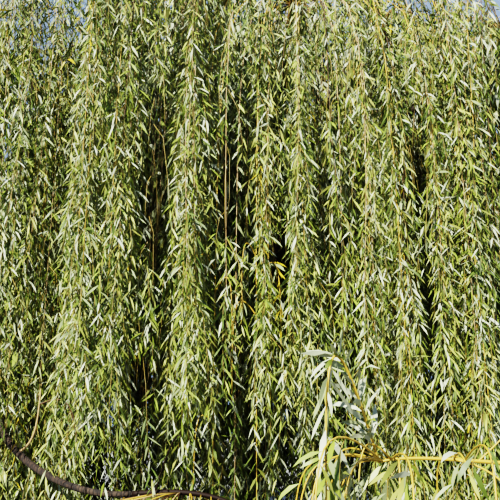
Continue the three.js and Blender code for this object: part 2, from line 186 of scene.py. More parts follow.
def operator(operation: str, swapped: bool = False) -> Callable[["Socket", object], "Socket"]:
    """A method that makes one Math node.

    Args:
        operation: What the node does.
        swapped: Whether the other value comes first, as in 1 - mask.

    Returns:
        The method.
    """

    def method(self: "Socket", other: object) -> "Socket":
        """Makes the node.

        Args:
            other: The other value.

        Returns:
            The socket of its result.
        """
        node = self.tree.nodes.new("ShaderNodeMath")
        node.operation = operation
        for place, value in zip(node.inputs, (other, self) if swapped else (self, other)):
            feed(self.tree, place, value)
        return Socket(self.tree, node.outputs[0])

    return method


@dataclass
class Socket:
    """A shader socket that does maths by Math nodes."""

    tree: Tree
    value: bpy.types.NodeSocket

    __add__ = operator("ADD")
    __radd__ = operator("ADD", swapped=True)
    __sub__ = operator("SUBTRACT")
    __rsub__ = operator("SUBTRACT", swapped=True)
    __mul__ = operator("MULTIPLY")
    __rmul__ = operator("MULTIPLY", swapped=True)


def feed(tree: Tree, place: bpy.types.NodeSocket, value: object) -> None:
    """Puts a value into a socket.

    Args:
        tree: The node tree.
        place: The socket.
        value: A number, colour or vector, or another socket to link to it.
    """
    if isinstance(value, Socket):
        value = value.value
    if isinstance(value, bpy.types.NodeSocket):
        tree.links.new(value, place)
    else:
        place.default_value = value


@dataclass(frozen=True)
class PlainFinish:
    """One even colour, as the leaves and twigs of one kind have."""

    name: str
    colour: Triple
    roughness: float = 0.45
    gloss: float = 0.5

    def material(self) -> bpy.types.Material:
        """Makes the material, once, with constant values on the shader's own sockets.

        Returns:
            The material.
        """
        made = bpy.data.materials.get(self.name)
        if made is None:
            made = bpy.data.materials.new(self.name)
            made.use_nodes = True
            sockets = made.node_tree.nodes["Principled BSDF"].inputs
            sockets["Base Color"].default_value = linear(self.colour)
            sockets["Roughness"].default_value = self.roughness
            sockets["Specular IOR Level"].default_value = self.gloss
        return made


@dataclass(frozen=True)
class BarkFinish:
    """Furrowed bark: dark cracks between paler plates that run along the limb, with lichen-grey patches.

    Fine specks make the cracks waver, mottle the plates and roughen the relief.
    """

    name: str
    plate: Triple
    crack: Triple
    patch: Triple
    grain: float = 22.0
    relief: float = 0.012
    stretch: float = 0.16
    roughness: float = 0.88
    speck_grain: float = 3.5
    waver: float = 0.12
    crack_edges: Span = (0.02, 0.16)
    mottle: float = 0.72
    patch_grain: float = 2.2
    patch_level: float = 0.42
    patch_contrast: float = 2.2
    relief_strength: float = 0.7
    speck_relief: float = 0.5

    def node(
        self, tree: Tree, kind: str, settings: dict[str, object], **values: object
    ) -> bpy.types.Node:
        """Adds a node.

        Args:
            tree: The material's node tree.
            kind: The node's type, without the words that all have.
            settings: Its properties, which are set first.
            values: What goes into its sockets, by socket name with _ for a space.

        Returns:
            The node.
        """
        made = tree.nodes.new(f"ShaderNode{kind}")
        for name, setting in settings.items():
            setattr(made, name, setting)
        for name, value in values.items():
            feed(tree, made.inputs[name.replace("_", " ")], value)
        return made

    def noise(self, tree: Tree, place: object, scale: float, detail: float) -> Socket:
        """Noise from 0 to 1 at a place."""
        values = {"Vector": place, "Scale": scale, "Detail": detail}
        return Socket(tree, self.node(tree, "TexNoise", {}, **values).outputs["Fac"])

    def blend(self, tree: Tree, *values: object) -> Socket:
        """Mixes two colours.

        Args:
            tree: The material's node tree.
            values: How much of the second shows, the first colour and the second.

        Returns:
            The mixed colour's socket.
        """
        made = self.node(tree, "Mix", {"data_type": "RGBA"})
        for place, value in zip((0, 6, 7), values):
            feed(tree, made.inputs[place], value)
        return Socket(tree, made.outputs[2])

    def material(self) -> bpy.types.Material:
        """Makes the material, with its pattern on Object coordinates.

        Returns:
            The material.
        """
        made = bpy.data.materials.new(self.name)
        made.use_nodes = True
        tree = made.node_tree
        shader = tree.nodes["Principled BSDF"]
        place = self.node(tree, "TexCoord", {}).outputs["Object"]
        stretch = {"Vector": place, "Scale": (1.0, 1.0, self.stretch)}
        along = self.node(tree, "Mapping", {}, **stretch).outputs["Vector"]
        cells = {"feature": "DISTANCE_TO_EDGE"}
        crackle = self.node(tree, "TexVoronoi", cells, Vector=along, Scale=self.grain)
        edge = Socket(tree, crackle.outputs["Distance"])
        speck = self.noise(tree, along, self.grain * self.speck_grain, 4.0)
        patch = self.noise(tree, place, self.patch_grain, 3.0)
        ramp = self.node(tree, "ValToRGB", {}, Fac=edge + (speck - 0.5) * self.waver)
        for stop, position in zip(ramp.color_ramp.elements, self.crack_edges):
            stop.position = position
        between = Socket(tree, ramp.outputs["Color"])
        shade = tuple(self.mottle * part for part in self.plate)
        plates = self.blend(tree, speck, linear(self.plate), linear(shade))
        lichen = (patch - self.patch_level) * self.patch_contrast
        aged = self.blend(tree, lichen, plates, linear(self.patch))
        feed(tree, shader.inputs["Base Color"], self.blend(tree, between, linear(self.crack), aged))
        shader.inputs["Roughness"].default_value = self.roughness
        height = between + speck * self.speck_relief
        relief = {"Strength": self.relief_strength, "Distance": self.relief, "Height": height}
        bump = self.node(tree, "Bump", {}, **relief)
        feed(tree, shader.inputs["Normal"], bump.outputs["Normal"])
        return made


def mesh_piece(
    name: str, points: Array, faces: Array, material: bpy.types.Material, slot: str, nodes: list[str]
) -> None:
    """Makes a smooth mesh that rides on the tree's body and stands for some of its nodes.

    Args:
        name: Its name.
        points: Its vertices.
        faces: Its triangles, as three vertex numbers each.
        material: Its finish.
        slot: The record's material slot; not used.
        nodes: The CAD nodes that it stands for.
    """
    mesh = bpy.data.meshes.new(name)
    mesh.vertices.add(len(points))
    mesh.vertices.foreach_set("co", points.astype(np.float32).ravel())
    mesh.loops.add(faces.size)
    mesh.loops.foreach_set("vertex_index", faces.astype(np.int32).ravel())
    mesh.polygons.add(len(faces))
    mesh.polygons.foreach_set("loop_start", np.arange(len(faces), dtype=np.int32) * 3)
    mesh.polygons.foreach_set("use_smooth", np.ones(len(faces), dtype=bool))
    mesh.update(calc_edges=True)
    mesh.materials.append(material)
    piece = bpy.data.objects.new(name, mesh)
    bpy.context.scene.collection.objects.link(piece)
    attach(piece, BODY)
    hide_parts(*nodes)
    log.info("%s: %d triangles", name, len(faces))


def skin(middles: Array, radii: Array, sides: int, across: Array, relief: Number = 0.0) -> Pair:
    """Closed tapering tubes along many paths at once.

    vertex = middle + (radius + relief) (cos(angle) normal + sin(angle) binormal), with a pole at each end:
    one in the first ring's middle, and one at the tip.

    Args:
        middles: Paths, by the places of the rings and the tip, by three.
        radii: One for each ring.
        sides: How many vertices go round.
        across: For each path a vector that it never runs along.
        relief: What stands out of the radius, by rings and sides.

    Returns:
        The vertices and the triangles.
    """
    paths, places = len(middles), len(radii)
    way = np.gradient(middles, axis=1)[:, :places]
    way = way / np.maximum(norm(way)[..., None], 1e-9)
    normal = unit(across[:, None] - way * np.sum(across[:, None] * way, axis=-1, keepdims=True))
    binormal = np.cross(way, normal)
    turn = angles_round(sides)[:, None]
    spoke = normal[:, :, None] * np.cos(turn) + binormal[:, :, None] * np.sin(turn)
    rings = middles[:, :places, None] + spoke * (radii[:, None] + relief)[..., None]
    size = places * sides + 2
    points = np.concatenate([rings.reshape(paths, -1, 3), middles[:, :1], middles[:, -1:]], axis=1)
    grid = np.meshgrid(np.arange(places - 1), np.arange(sides), indexing="ij")
    ring, corner = (part.ravel() for part in grid)
    after = (corner + 1) % sides
    low, high = ring * sides, (ring + 1) * sides
    walls = [[low + corner, low + after, high + after], [low + corner, high + after, high + corner]]
    here = np.arange(sides)
    onward = (here + 1) % sides
    last = (places - 1) * sides
    root_pole, tip_pole = np.full(sides, size - 2), np.full(sides, size - 1)
    caps = [[root_pole, onward, here], [tip_pole, last + here, last + onward]]
    pattern = np.concatenate([np.stack(corners, axis=1) for corners in walls + caps])
    faces = pattern[None] + np.arange(paths)[:, None, None] * size
    return points.reshape(-1, 3), faces.reshape(-1, 3)


def tubes(curves: Fountains, shares: Array, radii: Span, sides: int) -> Pair:
    """Tubes along shoots, with a ring at each share but the last, which is the tip, and an even taper."""
    return skin(curves.points(shares), mix(*radii, shares[:-1]), sides, curves.side)


def merged(parts: list[Pair]) -> Pair:
    """Several meshes as one, with each one's vertex numbers moved up past those before it.

    Args:
        parts: Vertices and triangles of each.

    Returns:
        Vertices and triangles of all.
    """
    points, faces = zip(*parts)
    sizes = np.cumsum([0] + [len(part) for part in points])
    return np.concatenate(points), np.concatenate([part + size for part, size in zip(faces, sizes)])


def furrows(angle: Array, run: Array, ridges: int, depth: float) -> Array:
    """The relief of bark: ridges between sharp furrows that waver along the limb.

    height = depth (|sin(ridges angle / 2 + a slow and a quick wave along the run)|^sharpness - mean)

    Args:
        angle: Angles round the limb.
        run: Metres along it.
        ridges: How many ridges go round.
        depth: From a furrow's bottom to a ridge's crest.

    Returns:
        Heights above the mean surface.
    """
    sharpness, mean = 0.7, 0.6
    slow = 0.9 * np.sin(5.3 * run + angle)
    quick = 0.6 * np.sin(11.7 * run - 2 * angle)
    return depth * (np.abs(np.sin(ridges * angle / 2 + (slow + quick))) ** sharpness - mean)


@dataclass
class Trunk:
    """The short leaning trunk: an even taper, roots that spread at its foot, and a rounded top."""

    height: float = 2.25
    radius: float = 0.225
    taper: float = 0.82
    lean: Triple = (0.14, 0.06, 0.0)
    lean_power: float = 1.5
    flare_radius: float = 0.185
    flare_height: float = 0.32
    root_lobes: int = 5
    lobe_depth: float = 0.4
    cap: float = 0.09
    cap_rings: int = 6
    ridges: int = 26
    furrow: float = 0.016
    sides: int = 156
    rings: int = 76
    ring_pull: float = 1.3
    bark: BarkFinish = BarkFinish("bark_old", (0.38, 0.33, 0.26), (0.13, 0.10, 0.08), (0.43, 0.43, 0.35))

    def middle(self, height: Number) -> Array:
        """The trunk's middle at a height: it leans, more so towards its fork."""
        share = (np.asarray(height, dtype=float) / self.height) ** self.lean_power
        return share[..., None] * np.array(self.lean) + np.asarray(height)[..., None] * UP

    def radius_at(self, height: Array, angle: Array) -> Array:
        """radius x taper + flare x (1 + depth x cos(lobes angle)) e^(-height / flare height)."""
        flare = self.flare_radius * (1 + self.lobe_depth * np.cos(self.root_lobes * angle))
        return (
            self.radius * mix(1, self.taper, height / self.height)
            + flare * np.exp(-height / self.flare_height)
        )

    def build(self) -> None:
        """Makes the trunk: level rings up to the fork, closer at the foot, then a low dome over it."""
        wall = self.height * np.linspace(0, 1, self.rings) ** self.ring_pull
        rise = np.linspace(0, 1, self.cap_rings + 2)[1:-1] * math.pi / 2
        height = np.concatenate([wall, self.height + self.cap * np.sin(rise)])
        narrow = np.concatenate([np.ones(self.rings), np.cos(rise)])
        angle = angles_round(self.sides)
        lines = np.minimum(height, self.height)[:, None]
        reach = self.radius_at(lines, angle) + furrows(angle, lines, self.ridges, self.furrow)
        middle = self.middle(lines[:, 0])
        middle[:, 2] = height
        spoke = np.stack([np.cos(angle), np.sin(angle), np.zeros(self.sides)], axis=-1)
        rings = middle[:, None] + spoke * (reach * narrow[:, None])[..., None]
        top = middle[-1:] + UP * (self.cap + self.height - height[-1])
        line = np.concatenate([middle, top])[None]
        _, faces = skin(line, np.ones(len(height)), self.sides, np.array([[1.0, 0.0, 0.0]]))
        points = np.concatenate([rings.reshape(-1, 3), middle[:1], top])
        mesh_piece("trunk_bark", points, faces, self.bark.material(), "trunk_bark", ["trunk"])


@dataclass
class Limb:
    """One tapering limb along a cubic curve."""

    name: str
    handles: Array
    root_radius: float
    tip_radius: float
    taper: float = 0.8
    steps: int = 200

    def low(self) -> bool:
        """Whether it is one of the two low boughs, which stand for two nodes each."""
        return self.name in ("low_bough", "near_bough")

    def curve(self, share: Number) -> Array:
        """Points of the cubic through its four handles.

        Args:
            share: The curve's own parameters t.

        Returns:
            (1-t)^3 a + 3(1-t)^2 t b + 3(1-t) t^2 c + t^3 d.
        """
        t = np.atleast_1d(share)[:, None]
        a, b, c, d = self.handles
        return (1 - t) ** 3 * a + 3 * (1 - t) ** 2 * t * b + 3 * (1 - t) * t**2 * c + t**3 * d

    def runs(self) -> Pair:
        """Fine steps of the curve's own parameter, and the length up to each."""
        fine = np.linspace(0, 1, self.steps + 1)
        return fine, np.append(0.0, np.cumsum(norm(np.diff(self.curve(fine), axis=0))))

    def paced(self, share: Number) -> Array:
        """The curve's own parameters at shares of its length."""
        fine, run = self.runs()
        return np.interp(np.atleast_1d(share) * run[-1], run, fine)

    def length(self) -> float:
        """The length of the curve."""
        return float(self.runs()[1][-1])

    def place(self, share: float) -> Array:
        """The point at a share of the length."""
        return self.curve(self.paced(share))[0]

    def way(self, share: float) -> Array:
        """The unit tangent at a share of the length."""
        step = 0.004
        return unit(self.place(min(share + step, 1.0)) - self.place(share - step))

    def line(self, places: int) -> Pair:
        """The middle line and radii.

        Args:
            places: How many places along it.

        Returns:
            Points and radii.
        """
        share = np.linspace(0, 1, places)
        radii = mix(self.root_radius, self.tip_radius, share**self.taper)
        return self.curve(self.paced(share) if self.low() else share), radii


@dataclass(frozen=True)
class Ring:
    """Cascades of one size round the crown, or one alone. Its turn is where the first stands or heads."""

    name: str
    count: int
    radius: float
    turn: float
    wide: float
    inner: float
    outer: float
    foot: float
    sink: float = 0.425
    launch: float = 0.7
    stem_radius: float = 0.032
    stem_droop: float = 0.4
    twig_launch: float = 0.63
    root_inset: float = 0.62
    stem_reach: float = 0.55
    stem_bend: float = 3.2


@dataclass
class Cascade:
    """One mass of hanging twigs: its sizes, its middle in plan, the way it heads, and its foot and top."""

    name: str
    ring: Ring
    middle: Array
    outward: Array
    foot: float
    top: float
    seed: int

    def __post_init__(self) -> None:
        """Works out the way across and the end of its bough, which is the root of its stem."""
        self.side = np.cross(UP, self.outward)
        self.root = self.middle - self.ring.root_inset * self.ring.inner * self.outward
        self.root[2] = self.top - self.ring.sink

    def stem(self) -> Fountains:
        """The stem: out from the bough's tip, over, and down a little at the edge of the crown.

        Returns:
            One shoot.
        """
        ring = self.ring
        length = ring.root_inset * ring.inner + ring.stem_reach * ring.outer
        foot = self.root[2] - ring.stem_droop * length
        return single(self.root, self.outward * length, ring.launch, foot, ring.stem_bend)

    def stem_way(self) -> Array:
        """The way that the stem heads at its root."""
        return self.stem().ways(0.0)[0, 0]


@dataclass
class Crown:
    """Where the cascades stand, by the rule of the part's source. Other twigs keep out of the low box."""

    tree_height: float = 7.9
    radius: float = 4.6
    dome_drop: float = 3.3
    dome_power: float = 1.9
    lump: float = 0.23
    azimuth_jitter: float = 0.16
    radius_jitter: float = 0.14
    foot_jitter: float = 0.4
    low_box: tuple[Triple, Triple] = ((-1.15, -5.25, 0.06), (0.8, -4.15, 1.7))
    rings: tuple[Ring, ...] = (
        Ring("crown", 1, 0.09, 70, 0.64, 0.56, 0.64, 5.3),
        Ring("upper", 4, 1.38, 24, 1.06, 0.64, 0.74, 4.0),
        Ring("shoulder", 6, 2.74, 12, 1.4, 0.62, 0.7, 2.5),
        Ring("curtain", 10, 3.96, -90, 1.24, 0.48, 0.72, 0.2),
    )
    low: Ring = Ring("low", 1, 0.0, -6, 0.42, 0.78, 0.82, 0.21, 0.37, 0.1, 0.018, 0.55, 0.0)
    low_place: Triple = (-0.23, -4.74, 1.6)
    near: Ring = Ring("near", 1, 0.0, 180, 0.43, 0.9, 0.85, 0.33, 0.37, 0.1, 0.009, -0.05, 0.3)
    near_place: Triple = (0.95, -6.0, 1.8)
    cascades: list[Cascade] = field(default_factory=list)

    def dome(self, radius: float) -> float:
        """Height of the even dome: tree height - drop x (radius / crown radius)^power."""
        return self.tree_height - self.dome_drop * (radius / self.radius) ** self.dome_power

    def place(self) -> None:
        """Sets out every cascade, ring by ring, then the two low ones at the front."""
        for ring in self.rings:
            jitter = 0 if ring.count == 1 else 1
            for i in range(ring.count):
                seed = len(self.cascades)
                azimuth = ring.turn + (360 / ring.count) * (i + self.azimuth_jitter * offset(i, 0, seed))
                radius = ring.radius + jitter * self.radius_jitter * offset(i, 1, seed)
                name = f"{ring.name}_cascade" + jitter * f"_{i + 1}"
                foot = ring.foot + self.foot_jitter * scatter(i, 3, seed)
                top = self.dome(radius) + jitter * self.lump * offset(i, 2, seed)
                way = heading(azimuth)
                self.cascades.append(Cascade(name, ring, way * radius, way, foot, top, seed))
        for ring, place in ((self.low, self.low_place), (self.near, self.near_place)):
            name, middle, way = f"{ring.name}_cascade", np.array(place) * LEVEL, heading(ring.turn)
            self.cascades.append(Cascade(name, ring, middle, way, ring.foot, place[2], len(self.cascades)))

    def ring(self, name: str) -> list[Cascade]:
        """The cascades of one ring."""
        return [cascade for cascade in self.cascades if cascade.ring.name == name]

    def in_low_box(self, points: Array, margin: float) -> Array:
        """Whether points stand in the low box grown by a margin."""
        low, high = (np.array(corner) for corner in self.low_box)
        return np.all((points > low - margin) & (points < high + margin), axis=-1)

    def in_own_space(self, points: Array, cascade: Cascade, overlap: float) -> Array:
        """Whether points are nearer in plan to their cascade's middle than to another's.

        Args:
            points: By three, in any shape.
            cascade: Whose space it is.
            overlap: How far twigs may reach over the border.

        Returns:
            A mask.
        """
        if cascade.ring is self.low:
            return self.in_low_box(points, overlap)
        own = norm((points - cascade.middle)[..., :2])
        inside = ~self.in_low_box(points, 0.0)
        for other in self.cascades:
            if other is cascade or other.ring is self.low:
                continue
            far = norm((points - other.middle)[..., :2])
            apart = 2 * norm(other.middle[:2] - cascade.middle[:2])
            inside &= (far**2 - own**2) / apart > -overlap
        return inside


@dataclass
class Limbs:
    """Leader, boughs and branches, each from the trunk or its parent to its cascade's root.

    A pull is how long a limb holds its first or last way, as a share of its span, and a step is what the
    next limb has more or less. The two low boughs swing wide round a gap: for each the height where it
    leaves, its first handle, how far before its end its last handle stands, and its radii.
    """

    trunk: Trunk
    crown: Crown
    leader_radius: float = 0.125
    leader_depth: float = 0.15
    leader_pull: float = 0.42
    leader_way: Triple = (-0.05, 0.06, 1.0)
    bough_radius: float = 0.112
    bough_step: float = 0.009
    bough_pull: float = 0.46
    bough_lift: float = 1.1
    lift_spread: float = 0.3
    branch_pull: float = 0.36
    branch_turn: float = 0.6
    branch_lift: float = 0.25
    outer_share: float = 0.5
    shoulder_share: float = 0.26
    shoulder_step: float = 0.05
    upper_share: float = 0.24
    upper_step: float = 0.08
    branch_radii: dict[str, float] = field(
        default_factory=lambda: {"outer": 0.056, "shoulder": 0.062, "upper": 0.052}
    )
    stem_radius: float = 0.032
    fork_depth: float = 0.6
    fork_step: float = 0.19
    end_pull: float = 0.34
    trunk_room: float = 0.5
    limb_room: float = 0.25
    clearance: float = 0.02
    test_spacing: float = 0.09
    ring_spacing: float = 0.075
    thick: float = 0.065
    furrow_share: float = 0.11
    # The limbs' bark is a darker copy of the trunk's bark. Its plate, crack and patch colours are painted
    # shade for boughs that stand in the crown's shadow.
    bark: BarkFinish = BarkFinish(
        "bark_limbs_painted_shade", (0.20, 0.15, 0.11), (0.08, 0.06, 0.04), (0.25, 0.21, 0.16), grain=34.0, relief=0.005
    )
    swings: tuple[tuple, ...] = (
        (1.55, (-3.6, -2.2, 3.2), 1.2, 0.066, 0.018),
        (1.42, (1.94, -2.1, 2.3), 1.1, 0.06, 0.009),
    )
    limbs: dict[str, Limb] = field(default_factory=dict)

    def add(
        self, name: str, cascade: Cascade, start: Array, first: Array, pull: float, *radii: float
    ) -> Limb:
        """Adds a limb that ends at its cascade's root, heading as the stem does.

        Args:
            name: Its name.
            cascade: Which it feeds.
            start: Where it leaves.
            first: Its first handle, which it heads for.
            pull: How far before its end its last handle stands.
            radii: At its root and its tip.

        Returns:
            The limb.
        """
        handles = np.stack([start, first, cascade.root - cascade.stem_way() * pull, cascade.root])
        self.limbs[name] = Limb(name, handles, *radii)
        return self.limbs[name]

    def spring(
        self, name: str, cascade: Cascade, start: Array, way: Array, pull: float, radius: float
    ) -> Limb:
        """Adds a limb that holds its first way for a share of its span, and ends as thick as the stem."""
        span = norm(cascade.root - start)
        return self.add(
            name, cascade, start, start + unit(way) * pull * span,
            self.end_pull * span, radius, self.stem_radius,
        )

    def grow(self) -> None:
        """Adds every limb, in the source's order."""
        trunk, crown = self.trunk, self.crown
        start = trunk.middle(trunk.height - self.leader_depth)
        way, pull = np.array(self.leader_way), self.leader_pull
        leader = self.spring("leader", crown.cascades[0], start, way, pull, self.leader_radius)
        curtains = crown.ring("curtain")
        boughs = []
        for i, cascade in enumerate(curtains[::2]):
            start = trunk.middle(trunk.height - self.fork_depth + self.fork_step * ((i * 2) % 3))
            way = cascade.outward + UP * (self.bough_lift + self.lift_spread * scatter(i, 2, 3))
            radius = self.bough_radius - self.bough_step * (i % 3)
            boughs.append(self.spring(f"bough_{i + 1}", cascade, start, way, self.bough_pull, radius))
        bough_ways = np.stack([unit(cascade.middle) for cascade in curtains[::2]])
        share = self.outer_share
        branches = [("outer", i, boughs[i], share, cascade) for i, cascade in enumerate(curtains[1::2])]
        for i, cascade in enumerate(crown.ring("shoulder")):
            nearest = boughs[int(np.argmax(bough_ways @ unit(cascade.middle)))]
            share = self.shoulder_share + self.shoulder_step * (i % 3)
            branches.append(("shoulder", i, nearest, share, cascade))
        for i, cascade in enumerate(crown.ring("upper")):
            branches.append(("upper", i, leader, self.upper_share + self.upper_step * i, cascade))
        for place, i, parent, share, cascade in branches:
            start = parent.place(share)
            own = unit(cascade.root - start)
            way = mix(parent.way(share), own, self.branch_turn) + self.branch_lift * UP
            name, radius = f"{place}_branch_{i + 1}", self.branch_radii[place]
            self.spring(name, cascade, start, way, self.branch_pull, radius)
        for cascade, (height, first, pull, *radii) in zip(crown.cascades[-2:], self.swings):
            start = trunk.middle(height)
            self.add(f"{cascade.ring.name}_bough", cascade, start, np.array(first), pull, *radii)

    def clear(self, points: Array, size: float) -> Array:
        """Whether balls of one size stay off every limb and off the trunk.

        Args:
            points: Their middles, by three.
            size: Their radius.

        Returns:
            A mask.
        """
        axis = self.trunk.middle(np.maximum(points[:, 2], 0.0))
        free = norm((points - axis)[:, :2]) > self.trunk_room
        for limb in self.limbs.values():
            places, radii = limb.line(max(8, int(limb.length() / self.test_spacing)))
            low, high = places.min(axis=0) - self.limb_room, places.max(axis=0) + self.limb_room
            close = np.flatnonzero(np.all((points > low) & (points < high), axis=1) & free)
            apart = norm(points[close][:, None] - places[None])
            free[close[np.any(apart < radii + size + self.clearance, axis=1)]] = False
        return free

    def build(self) -> None:
        """Makes all the limbs as one piece with furrowed bark."""
        across = np.array([[0.31, 0.95, 0.02]])
        parts = []
        for limb in self.limbs.values():
            sides, ridges = (24, 8) if limb.root_radius > self.thick else (12, 4)
            places = int(limb.length() / self.ring_spacing)
            middles, radii = limb.line(places)
            run = np.linspace(0, limb.length(), places)[:, None]
            relief = furrows(angles_round(sides), run, ridges, 1.0) * radii[:, None] * self.furrow_share
            path = np.concatenate([middles, middles[-1:]])[None]
            parts.append(skin(path, radii, sides, across, relief))
        nodes = list(self.limbs) + [f"{limb.name}_end" for limb in self.limbs.values() if limb.low()]
        mesh_piece("bough_bark", *merged(parts), self.bark.material(), "bough_bark", nodes)


class LeafKind(Enum):
    """The colours of leaves, each one piece: greens and yellow above, and silvery undersides."""

    DEEP = PlainFinish("leaf_deep_green", (0.28, 0.33, 0.16), 0.45, 0.4)
    OLIVE = PlainFinish("leaf_olive", (0.38, 0.40, 0.20), 0.45, 0.4)
    FRESH = PlainFinish("leaf_fresh_green", (0.41, 0.46, 0.20), 0.48, 0.35)
    PALE = PlainFinish("leaf_pale_green", (0.51, 0.52, 0.29), 0.48, 0.35)
    YELLOW = PlainFinish("leaf_yellow", (0.60, 0.54, 0.18), 0.48, 0.35)
    DULL_SILVER = PlainFinish("leaf_underside_dull", (0.46, 0.49, 0.36), 0.5, 0.3)
    SILVER = PlainFinish("leaf_underside_silver", (0.56, 0.58, 0.49), 0.5, 0.3)

    @property
    def number(self) -> int:
        """Its place among the kinds."""
        return list(LeafKind).index(self)


class TwigKind(Enum):
    """The colours of twigs and clear shoots, each one piece."""

    GOLDEN = PlainFinish("twig_golden", (0.63, 0.52, 0.22), 0.5, 0.5)
    CREAM = PlainFinish("twig_cream", (0.58, 0.49, 0.35), 0.5, 0.5)
    BROWN = PlainFinish("twig_brown", (0.27, 0.19, 0.12), 0.6, 0.4)
    DARK = PlainFinish("twig_dark", (0.12, 0.085, 0.06), 0.7, 0.2)


STEM_BARK = PlainFinish("stem_bark", (0.42, 0.33, 0.19), 0.7, 0.3)
GREEN_GOLD = PlainFinish("shoot_green_gold", (0.48, 0.42, 0.22), 0.5, 0.5)


@dataclass(frozen=True)
class Growth:
    """How thickly a cascade is grown: its twigs, the shoots along them, and the leaves along those."""

    twigs: int
    shoot_spacing: float
    shoot_length: float
    leaf_spacing: float
    leaf_length: float
    leaf_width: float
    leaf_faces: int = 2


@dataclass(frozen=True)
class ShootForm:
    """How shoots stand on what carries them. A span is a range, which chance or their order picks from."""

    share: Span = (0.04, 0.97)
    length: Span = (0.45, 1.3)
    reach: Span = (0.06, 0.2)
    launch: Span = (-1.4, 0.3)
    bend: Span = (3.0, 5.0)
    sway: float = 0.05
    turn_unrest: float = 40.0
    foot_unrest: float = 0.2


@dataclass(frozen=True)
class LeafForm:
    """How a leaf stands and is shaped, with spans that chance picks from.

    The parts are the shares of its length up to its waist, on to its shoulder and on to its tip.
    """

    place: Span = (0.2, 0.8)
    turn: float = 97.0
    turn_unrest: float = 25.0
    slant: Span = (18.0, 58.0)
    droop: Span = (0.1, 0.9)
    unrest: float = 0.12
    outwards: float = 0.5
    openness: float = 0.8
    skywards: float = 0.5
    tumble: float = 0.8
    curl: float = 0.3
    size: Span = (0.72, 1.15)
    end_loss: float = 0.25
    width: Span = (0.8, 1.15)
    parts: Triple = (0.34, 0.36, 0.3)
    shoulder: float = 0.85


@dataclass(frozen=True)
class LeafGroup:
    """Leaves of one cascade: for each its six outline points and its kind."""

    outline: Array
    kind: Array
    faces: int

    def of_kind(self, number: int) -> Pair:
        """The mesh of the leaves of one kind.

        A leaf of four faces uses all its points, one of three faces has one shoulder, like a sickle, and one
        of two faces has none.

        Args:
            number: Which kind.

        Returns:
            Vertices and triangles.
        """
        corners, pattern = {
            4: ([0, 1, 2, 3, 4, 5], [[0, 1, 2], [1, 3, 2], [2, 3, 4], [3, 5, 4]]),
            3: ([0, 1, 2, 3, 5], [[0, 1, 2], [1, 3, 2], [3, 4, 2]]),
            2: ([0, 1, 2, 5], [[0, 1, 2], [1, 3, 2]]),
        }[self.faces]
        own = self.outline[self.kind == number][:, corners]
        faces = np.array(pattern)[None] + np.arange(len(own))[:, None, None] * len(corners)
        return own.reshape(-1, 3), faces.reshape(-1, 3)


@dataclass(frozen=True)
class Parting:
    """A dark gap between the strands at the front: its middle and its sizes on the curtain's face."""

    x: float
    z: float
    width: float
    height: float


@dataclass(frozen=True)
class ClearShoot:
    """A shoot that the photograph shows clear of the rest.

    It springs from a limb, a stem or another such shoot, at a share of its length. Then come its reach in
    plan, how high its end stands over its root, how steeply it springs and how soon it turns over. Its
    leaves may be crowded, also by a pull towards its root, and favour a colour over the darker greens.
    """

    name: str
    carrier: str
    share: float
    reach: Span
    lift: float
    launch: float
    bend: float
    radius: float
    first_leaf: float
    kind: TwigKind = TwigKind.GOLDEN
    crowding: float = 1.0
    leaf_pull: float = 1.0
    favoured: LeafKind | None = None


def spray(
    name: str, carrier: str, share: float, reach: Span, lift: float, launch: float, colour: LeafKind
) -> ClearShoot:
    """A small golden shoot with crowded bright leaves."""
    shape = (reach, lift, launch, 6.0, 0.0035, 0.1)
    return ClearShoot(name, carrier, share, *shape, crowding=1.4, favoured=colour)


